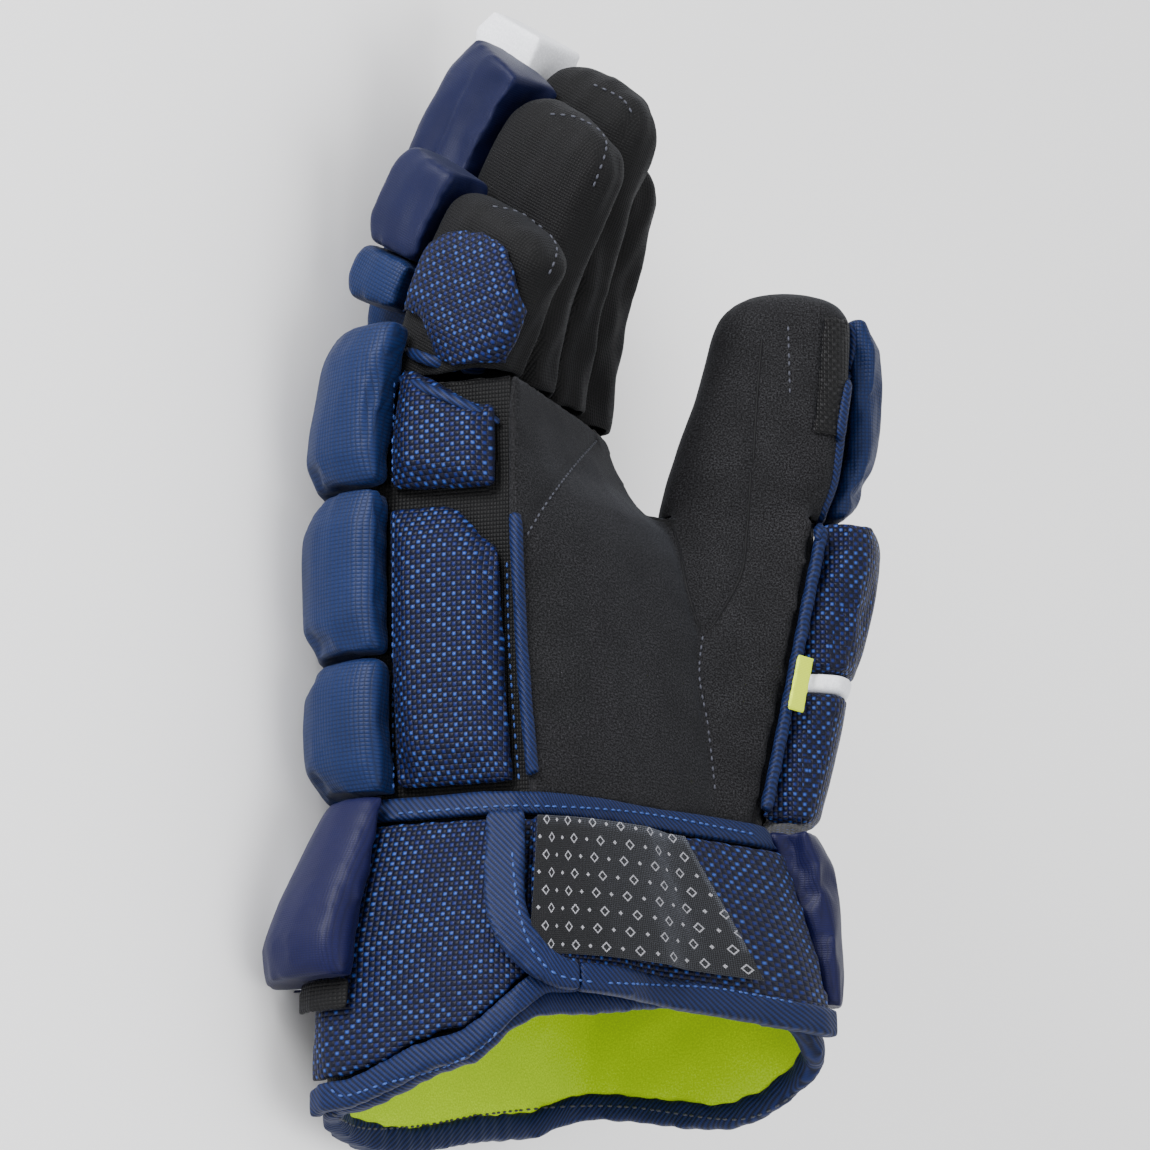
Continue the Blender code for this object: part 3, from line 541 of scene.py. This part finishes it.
def dress(body, look, cloth=wrap_cloth, replaced=(), levels=1):
    # Gives a body its looks, its place in the frame and what it stands for
    keep_above_floor(body)
    cloth(body)
    for face in body.data.polygons:
        face.use_smooth = True
    body.data.materials.clear()
    body.data.materials.append(LOOKS[look])
    if levels:
        finer = body.modifiers.new("Subdivision", "SUBSURF")
        finer.levels = levels
        finer.render_levels = levels
    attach(body, "root")
    if replaced:
        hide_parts(*replaced)
    return body


# Pads, with their foam pressed against the cloth

FINGERS = ("index", "middle", "ring", "pinky")
PADS = [(row + "_pad_" + column, "navy_nylon") for row in ("backhand", "knuckle", "wrist")
        for column in ("inner", "middle", "outer")]
for finger in FINGERS:
    PADS += [(finger + "_roll_base", "navy_nylon"), (finger + "_roll_tip", "navy_smooth")]
PADS += [(name, "navy_mesh") for name in ("side_pad_upper", "side_pad_lower", "pinky_gusset")]
PADS += [("thumb_back_pad", "navy_nylon"), ("thumb_side_pad", "navy_mesh"), ("thumb_side_pad_low", "navy_mesh")]
PADS += [(name, "navy_roll") for name in ("pinky_cuff_pad", "cuff_roll", "thumb_cuff_pad")]
BACKING = (["hand_shell", "knuckle_shell", "palm", "thumb_heel", "cuff_lining"]
           + [finger + "_stall" for finger in FINGERS] + ["thumb_stall"])


def puff(bodies, force=4.0, reach=0.0022, most=0.0020, last=18):
    # Blows the pads' cloth out from the faces that lie on the glove, and keeps each move small
    bm = bmesh.new()
    for body in bodies:
        bm.from_mesh(body.data)
    whole = new_body("pads_in_one", bm)
    backing = copied("pads_backing", BACKING)
    skin = BVHTree.FromObject(backing, bpy.context.evaluated_depsgraph_get())
    held = whole.vertex_groups.new(name="held")
    for vert in whole.data.vertices:
        if skin.find_nearest(vert.co)[3] < reach:
            held.add([vert.index], 1.0, "REPLACE")
    cloth = whole.modifiers.new("Cloth", "CLOTH")
    cloth.point_cache.frame_start = 1
    cloth.point_cache.frame_end = last
    cloth.settings.quality = 4
    cloth.settings.mass = 0.2
    cloth.settings.tension_stiffness = 18
    cloth.settings.compression_stiffness = 18
    cloth.settings.shear_stiffness = 6
    cloth.settings.bending_stiffness = 0.6
    cloth.settings.shrink_min = -0.03
    cloth.settings.use_pressure = True
    cloth.settings.uniform_pressure_force = force
    cloth.settings.vertex_group_mass = "held"
    cloth.settings.effector_weights.gravity = 0.0
    cloth.collision_settings.use_collision = False
    for number in range(1, last + 1):
        SCENE.frame_set(number)
    moved = evaluated_copy(whole)
    first = 0
    for body in bodies:
        for vert in body.data.vertices:
            move = moved.vertices[first + vert.index].co - vert.co
            vert.co += move * min(1.0, most / max(move.length, 0.0000001))
        first += len(body.data.vertices)
    SCENE.frame_set(1)
    bpy.data.objects.remove(whole)
    bpy.data.objects.remove(backing)


def pad_creases(place, _normal):
    # Small uneven dents in the cloth over the foam
    broad = noise.noise(place * 60.0)
    fine = noise.noise(place * 210.0 + Vector((3.0, 1.0, 7.0)))
    return 0.0004 * broad + 0.00012 * fine


THIN_PADS = {"side_pad_upper": 0.0018, "side_pad_lower": 0.0018, "pinky_gusset": 0.0016}
pads = {name: soft("soft_" + name, [name], THIN_PADS.get(name, PAD_VOXEL), smooth=1) for name, _look in PADS}
puff([pad for name, pad in pads.items() if name not in THIN_PADS])
for name, look in PADS:
    if name == "side_pad_upper":
        reach_low(pads[name], 0.03, -0.002)
        reach_down(pads[name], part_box(name)[0].y, 1.16)
    swell(pads[name], pad_creases)
    if "roll_" in name or name == "pinky_gusset":
        place_cloth = finger_cloth
    elif name.startswith("thumb_") and "cuff" not in name:
        place_cloth = thumb_cloth
    else:
        place_cloth = wrap_cloth
    dress(pads[name], look, place_cloth, [name])


# The black cloth that carries the pads, and the white and small pieces

# The carrying cloth runs on under the suede, so that no seam of the palm is open
shell = soft("soft_shell", ["hand_shell", "knuckle_shell", "palm", "thumb_heel"], SHELL_VOXEL,
             smooth=1, grow=0.0021, shrink=0.0027)
reach_low(shell, 0.020, 0.0080)
dress(shell, "black_nylon", wrap_cloth, ["hand_shell", "knuckle_shell"], levels=0)

for name, look, place_cloth in (
        ("cuff_roll_stripe", "white_vinyl", wrap_cloth), ("middle_tip_patch", "white_vinyl", finger_cloth),
        ("thumb_stripe", "white_vinyl", thumb_cloth), ("thumb_tag", "lime_tag", wrap_cloth),
        ("pinky_elastic", "black_nylon", wrap_cloth), ("thumb_elastic", "black_nylon", wrap_cloth)):
    size = TAG_VOXEL if name == "thumb_tag" else SMALL_VOXEL
    dress(soft("soft_" + name, [name], size, smooth=2), look, place_cloth, [name])


# Lines seen in the photo, found again on the pieces

def skin_of(bodies):
    # One surface for rays, from the bodies as they are shown
    bm = bmesh.new()
    for body in bodies:
        bm.from_mesh(evaluated_copy(body))
    tree = BVHTree.FromBMesh(bm)
    bm.free()
    return tree


def curve_through(points, count):
    # A smooth curve through points of any size, as evenly many steps a span
    made = []
    for index in range(len(points) - 1):
        before = points[max(index - 1, 0)]
        start = points[index]
        end = points[index + 1]
        after = points[min(index + 2, len(points) - 1)]
        for step in range(count):
            t = step / count
            square = (2 * before - 5 * start + 4 * end - after) * t * t
            cube = (3 * start - before - 3 * end + after) * t ** 3
            made.append(0.5 * (2 * start + (end - before) * t + square + cube))
    made.append(points[-1])
    return made


# Points of a line that lie farther apart than this are on pieces at different depths
JUMP = 0.005


def seen(skin, pixels, spacing=0.0008):
    # Points and normals on the skin, evenly spaced, under a curve of the photo's pixels
    flat = curve_through([Vector(pixel) for pixel in pixels], 30)
    found = []
    for pixel in flat:
        aim = TARGET + RIGHT * (pixel.x - HALF_SIDE) * PIXEL + UP * (HALF_SIDE - pixel.y) * PIXEL
        place, normal, _index, _far = skin.ray_cast(EYE, (aim - EYE).normalized())
        if place is not None:
            found.append((place, normal))
    even = [found[0]]
    for place, normal in found[1:]:
        if (place - even[-1][0]).length > JUMP:
            even.append((place, normal))
        while (place - even[-1][0]).length > spacing:
            step = even[-1][0] + (place - even[-1][0]).normalized() * spacing
            even.append((step, normal))
    return even


def stitches(name, lines, look, pitch=0.0030, share=0.66, thick=0.0008):
    # Rows of thread stitches on lines of points and normals
    bm = bmesh.new()
    for line in lines:
        points = [place for place, _normal in line]
        lengths = [0.0]
        for first, second in zip(points, points[1:]):
            lengths.append(lengths[-1] + (second - first).length)
        for number in range(int(lengths[-1] / pitch)):
            middle = (number + 0.5) * pitch
            index = min(int(np.searchsorted(lengths, middle)), len(points) - 1)
            low = max(index - 2, 0)
            high = min(index + 2, len(points) - 1)
            if (points[high] - points[low]).length > JUMP:
                continue
            along = (points[high] - points[low]).normalized()
            normal = line[index][1]
            normal = (normal - along * normal.dot(along)).normalized()
            side = normal.cross(along)
            centre = points[index] + normal * thick * 0.15
            size = Matrix.Diagonal((pitch * share / 2, thick / 2, thick / 2.2, 1.0))
            turn = Matrix((along, side, normal)).transposed().to_4x4()
            stitch = Matrix.Translation(centre) @ turn @ size
            bmesh.ops.create_icosphere(bm, subdivisions=1, radius=1.0, matrix=stitch)
    body = new_body(name, bm)
    return dress(body, look, wrap_cloth, levels=0)


def in_order(bm):
    # Sorts edges and faces by their corners, because an extrusion makes them in a new order each run
    bm.verts.index_update()
    count = len(bm.verts)

    def place_in_row(part):
        corners = [vert.index for vert in part.verts]
        return min(corners) * count + max(corners)
    bm.edges.sort(key=place_in_row)
    bm.faces.sort(key=place_in_row)


def tube(name, line, radius, look, flat=1.0, sides=10, cloth=wrap_cloth):
    # A cord or folded tape along points and normals: a circle, extruded ring by ring
    bm = bmesh.new()
    ring = bmesh.ops.create_circle(bm, cap_ends=False, radius=1.0, segments=sides)["verts"]
    shape = [vert.co.copy() for vert in ring]
    edges = bm.edges[:]
    first_ring = list(ring)
    for index, (place, normal) in enumerate(line):
        ahead = line[min(index + 1, len(line) - 1)][0] - line[max(index - 1, 0)][0]
        ahead.normalize()
        lift = (normal - ahead * normal.dot(ahead)).normalized()
        side = lift.cross(ahead)
        end = min(index, len(line) - 1 - index)
        size = radius * min(1.0, 0.45 + 0.2 * end)
        for vert, corner in zip(ring, shape):
            vert.co = place + side * corner.x * size + lift * corner.y * size * flat
        if index < len(line) - 1:
            grown = bmesh.ops.extrude_edge_only(bm, edges=edges)
            edges = [item for item in grown["geom"] if isinstance(item, bmesh.types.BMEdge)
                     and all(vert in grown["geom"] for vert in item.verts)]
            new = [item for item in grown["geom"] if isinstance(item, bmesh.types.BMVert)]
            ring = sorted(new, key=lambda vert: min(
                range(sides), key=lambda n: (vert.co - ring[n].co).length))
    bmesh.ops.contextual_create(bm, geom=first_ring)
    bmesh.ops.contextual_create(bm, geom=ring)
    bmesh.ops.recalc_face_normals(bm, faces=bm.faces[:])
    in_order(bm)
    return dress(new_body(name, bm), look, cloth, levels=1)


# The suede palm and thumb

suede = soft("suede_palm_thumb", ["palm", "thumb_heel", "thumb_stall"], SUEDE_VOXEL,
             smooth=2, grow=0.0007, shrink=0.0002)


def suede_folds(place, _normal):
    broad = noise.noise(place * 34.0)
    fine = ripple(place, Vector((0.3, 0.9, 0.1)).normalized(), Vector((1, 0, 0)), 0.009, 3.0, 5.0)
    return 0.0008 * broad + 0.00012 * fine


reach_low(suede, 0.018, 0.0030)
swell(suede, suede_folds)
suede_skin = skin_of([suede])
SUEDE_SEAMS = {
    "web_seam": [(668, 512), (679, 548), (686, 584), (699, 630)],
    "thumb_seam": [(751, 470), (747, 530), (740, 578), (710, 630)],
    "heel_seam": [(703, 634), (699, 675), (707, 722), (712, 762), (715, 794)],
    "palm_seam": [(597, 440), (574, 466), (545, 505), (521, 545)],
    "thumb_inner_seam": [(762, 337), (757, 400), (753, 465)],
    "thumb_outer_seam": [(788, 324), (789, 360), (790, 400)],
}
suede_lines = {name: seen(suede_skin, pixels) for name, pixels in SUEDE_SEAMS.items()}
for name, line in suede_lines.items():
    carve(suede, [place for place, _normal in line], GROOVE_WIDTH, GROOVE_DEPTH)
suede_lines = {name: seen(skin_of([suede]), pixels) for name, pixels in SUEDE_SEAMS.items()}
dress(suede, "black_suede", thumb_cloth, ["palm", "thumb_heel", "thumb_stall"])
stitches("suede_stitches", [suede_lines[name] for name in ("heel_seam", "thumb_outer_seam", "palm_seam")],
         "thread_grey", pitch=0.0028)
# These near-black cords are painted shade: the carved grooves are shallow, so a dark cord along each seam
# darkens it the way shade would.
for name in ("web_seam", "thumb_seam", "thumb_inner_seam"):
    tube(name, suede_lines[name], 0.0005, "painted_seam_shade", sides=6)

inset = soft("soft_thumb_inset", ["thumb_inset"], INSET_VOXEL, smooth=2, grow=0.0002)
dress(inset, "black_inset", thumb_cloth, ["thumb_inset"])


# The knit finger stalls

FINGER_ALONG = Vector((0.0, math.cos(FINGER_RISE), math.sin(FINGER_RISE)))


def stall_folds(seed):
    def fold(place, normal):
        palm_side = max(normal.dot(Vector((-0.25, -0.5, 0.85)).normalized()), 0.0)
        long = ripple(place, FINGER_ALONG, Vector((1, 0, 0)), 0.0056, 5.0, seed)
        short = noise.noise(place * 75.0 + Vector((seed, 0, 0)))
        return (0.0019 * long + 0.0012 * short) * (0.30 + 0.70 * palm_side)
    return fold


for number, finger in enumerate(FINGERS):
    stall = soft("soft_" + finger + "_stall", [finger + "_stall"], STALL_VOXEL,
                 smooth=2, grow=0.0008, shrink=0.0006)
    swell(stall, stall_folds(number * 9.1))
    dress(stall, "black_knit", finger_cloth, [finger + "_stall"])


# The cuff

def lining_folds(place, _normal):
    turn = math.atan2(place.z - WRAP_MIDDLE.z, place.x - WRAP_MIDDLE.x)
    fold = noise.noise(Vector((turn * 2.2, place.y * 22.0, 4.0)))
    small = noise.noise(place * 120.0)
    return 0.0012 * fold + 0.0002 * small


lining = soft("soft_cuff_lining", ["cuff_lining"], LINING_VOXEL, smooth=1)
swell(lining, lining_folds)
reach_down(lining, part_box("cuff_lining")[1].y, 1.045)
dress(lining, "lime_lining", wrap_cloth, ["cuff_lining"])
lining.data.materials.append(LOOKS["black_nylon"])
for face in lining.data.polygons:
    outward = Vector((face.center.x - WRAP_MIDDLE.x, 0.0, face.center.z - WRAP_MIDDLE.z))
    if face.normal.dot(outward.normalized()) > 0.3 or face.normal.y > 0.3:
        face.material_index = 1


def rim_ripple(place, _normal):
    turn = math.atan2(place.z - WRAP_MIDDLE.z, place.x - WRAP_MIDDLE.x)
    return 0.00025 * math.sin(turn * 52.0) + 0.0003 * noise.noise(place * 60.0)


rim = soft("soft_rim_binding", ["rim_binding"], RIM_VOXEL, smooth=2, grow=0.0007)
swell(rim, rim_ripple)
dress(rim, "navy_tape", wrap_cloth, ["rim_binding"])

for name, look in (("front_flap", "navy_mesh"), ("pinky_flap", "navy_mesh")):
    flap = soft("soft_" + name, [name], FLAP_VOXEL, smooth=2)
    if name == "front_flap":
        reach_down(flap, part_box(name)[1].y, 1.09)
    swell(flap, pad_creases)
    dress(flap, look, wrap_cloth, [name])
for name in ("front_flap_binding", "front_flap_side_binding", "pinky_flap_binding", "cuff_band"):
    tape = soft("soft_" + name, [name], TAPE_VOXEL, smooth=1, grow=0.0006)
    swell(tape, pad_creases)
    dress(tape, "navy_tape", wrap_cloth, [name])
patch = copied("soft_front_patch", ["front_patch"])
bm = bmesh.new()
bm.from_mesh(patch.data)
bmesh.ops.join_triangles(bm, faces=bm.faces[:], angle_face_threshold=0.7, angle_shape_threshold=0.7)
bmesh.ops.subdivide_edges(bm, edges=bm.edges[:], cuts=2, use_grid_fill=True)
left = min(vert.co.x for vert in bm.verts)
for vert in bm.verts:
    # Its edge on the pinky side runs on round the corner, to the binding
    near = max(1.0 - (vert.co.x - left) / 0.016, 0.0)
    vert.co += Vector((-0.50, 0.0, -0.86)) * 0.0058 * near
bm.to_mesh(patch.data)
bm.free()
dress(patch, "black_patch", wrap_cloth, ["front_patch"], levels=0)
patch.data.set_sharp_from_angle(angle=math.radians(40))
# How far each binding is let into the cloth of its edge
SUNK = {"pinky_binding": Vector((0.0011, 0.0, -0.0018)), "thumb_binding": Vector((0.0, 0.0, -0.0006))}
for name, sink in SUNK.items():
    binding = soft("soft_" + name, [name], BINDING_VOXEL, smooth=2)
    for vert in binding.data.vertices:
        vert.co += sink
    dress(binding, "navy_tape", wrap_cloth, [name])


# Seams and stitches seen in the photo

skin = skin_of([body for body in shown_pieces()])
STITCH_LINES = {
    "thread_navy": (
        [(396, 814), (460, 809), (530, 806), (640, 813), (757, 835)],
        [(330, 1088), (345, 1096), (387, 1083), (440, 1068), (480, 1048), (505, 1022)],
        [(512, 850), (517, 900), (530, 945), (556, 974), (600, 983)],
        [(606, 983), (660, 985), (720, 989), (800, 1004)],
        [(394, 380), (393, 430), (393, 484)],
        [(394, 512), (393, 640), (393, 795)],
        [(507, 560), (509, 640), (514, 720), (520, 790)],
    ),
    "thread_grey": (
        [(490, 206), (524, 215), (556, 245), (546, 280)],
        [(548, 114), (580, 119), (606, 142), (592, 190)],
        [(592, 84), (622, 99), (634, 118)],
        [(330, 1112), (362, 1128), (418, 1126), (480, 1115), (560, 1107), (629, 1107), (741, 1119),
         (800, 1090)],
    ),
}
for look, lines in STITCH_LINES.items():
    stitches("stitches_" + look, [seen(skin, line) for line in lines], look)
EDGES = (
    ("thumb_edge_binding", 0.0021, 0.75, "navy_tape", thumb_cloth,
     [(806, 291), (828, 291), (845, 310), (852, 346), (842, 422), (834, 480), (821, 517), (817, 545)]),
    ("gusset_lip", 0.0019, 0.7, "navy_tape", wrap_cloth, [(404, 350), (430, 360), (462, 368), (490, 369)]),
    ("side_pad_lip", 0.0018, 0.7, "navy_tape", wrap_cloth, [(400, 379), (430, 389), (462, 404), (498, 421)]),
)


def fair(line):
    # The same line drawn smooth, so that a lip runs straight on over an opening
    steps = np.linspace(0.0, 1.0, len(line))
    rows = np.array([tuple(place) for place, _normal in line])
    tracks = [np.polyval(np.polyfit(steps, rows[:, axis], 2), steps) for axis in range(3)]
    normal = sum((normal for _place, normal in line), Vector()).normalized()
    return [(Vector(place), normal) for place in zip(*tracks)]


for name, radius, flat, look, cloth, line in EDGES:
    found = seen(skin, line, 0.0016)
    tube(name, fair(found) if name.endswith("_lip") else found, radius, look, flat=flat, cloth=cloth)


# Floor, lights and camera

def floor_sheet():
    bm = bmesh.new()
    bmesh.ops.create_grid(bm, x_segments=1, y_segments=1, size=6.0)
    for vert in bm.verts:
        vert.co.z = -0.0004
    body = new_body("floor", bm)
    made = bpy.data.materials.new("pale_floor")
    made.use_nodes = True
    shader = made.node_tree.nodes["Principled BSDF"]
    shader.inputs["Base Color"].default_value = (0.94, 0.94, 0.95, 1.0)
    shader.inputs["Roughness"].default_value = 0.9
    body.data.materials.append(made)


def area_light(name, way, distance, size, power, colour=(1.0, 1.0, 1.0)):
    lamp = bpy.data.lights.new(name, "AREA")
    lamp.shape = "DISK"
    lamp.size = size
    lamp.energy = power
    lamp.color = colour
    holder = bpy.data.objects.new(name, lamp)
    SCENE.collection.objects.link(holder)
    holder.location = TARGET + way.normalized() * distance
    holder.rotation_euler = way.to_track_quat("Z", "Y").to_euler()


floor_sheet()
area_light("key", OUT * 0.9 + UP * 0.9 - RIGHT * 0.55, 1.5, 0.7, 50.0)
area_light("fill", OUT * 1.0 - UP * 0.3 + RIGHT * 0.9, 1.7, 1.2, 16.0)
area_light("left", OUT * 0.25 - RIGHT * 1.0 + Vector((0, 0, 0.5)), 1.3, 0.6, 20.0)
world = bpy.data.worlds.new("soft_room")
world.use_nodes = True
world.node_tree.nodes["Background"].inputs["Color"].default_value = (1.0, 1.0, 1.0, 1.0)
world.node_tree.nodes["Background"].inputs["Strength"].default_value = 1.35
SCENE.world = world

camera = bpy.data.cameras.new("camera")
camera.sensor_width = 36.0
camera.lens = 36.0 * VIEW_DISTANCE / (PHOTO_SIDE * PIXEL)
camera.clip_end = 10.0
view = bpy.data.objects.new("camera", camera)
SCENE.collection.objects.link(view)
view.location = EYE
view.rotation_euler = Matrix((RIGHT, UP, OUT)).transposed().to_euler()
SCENE.camera = view
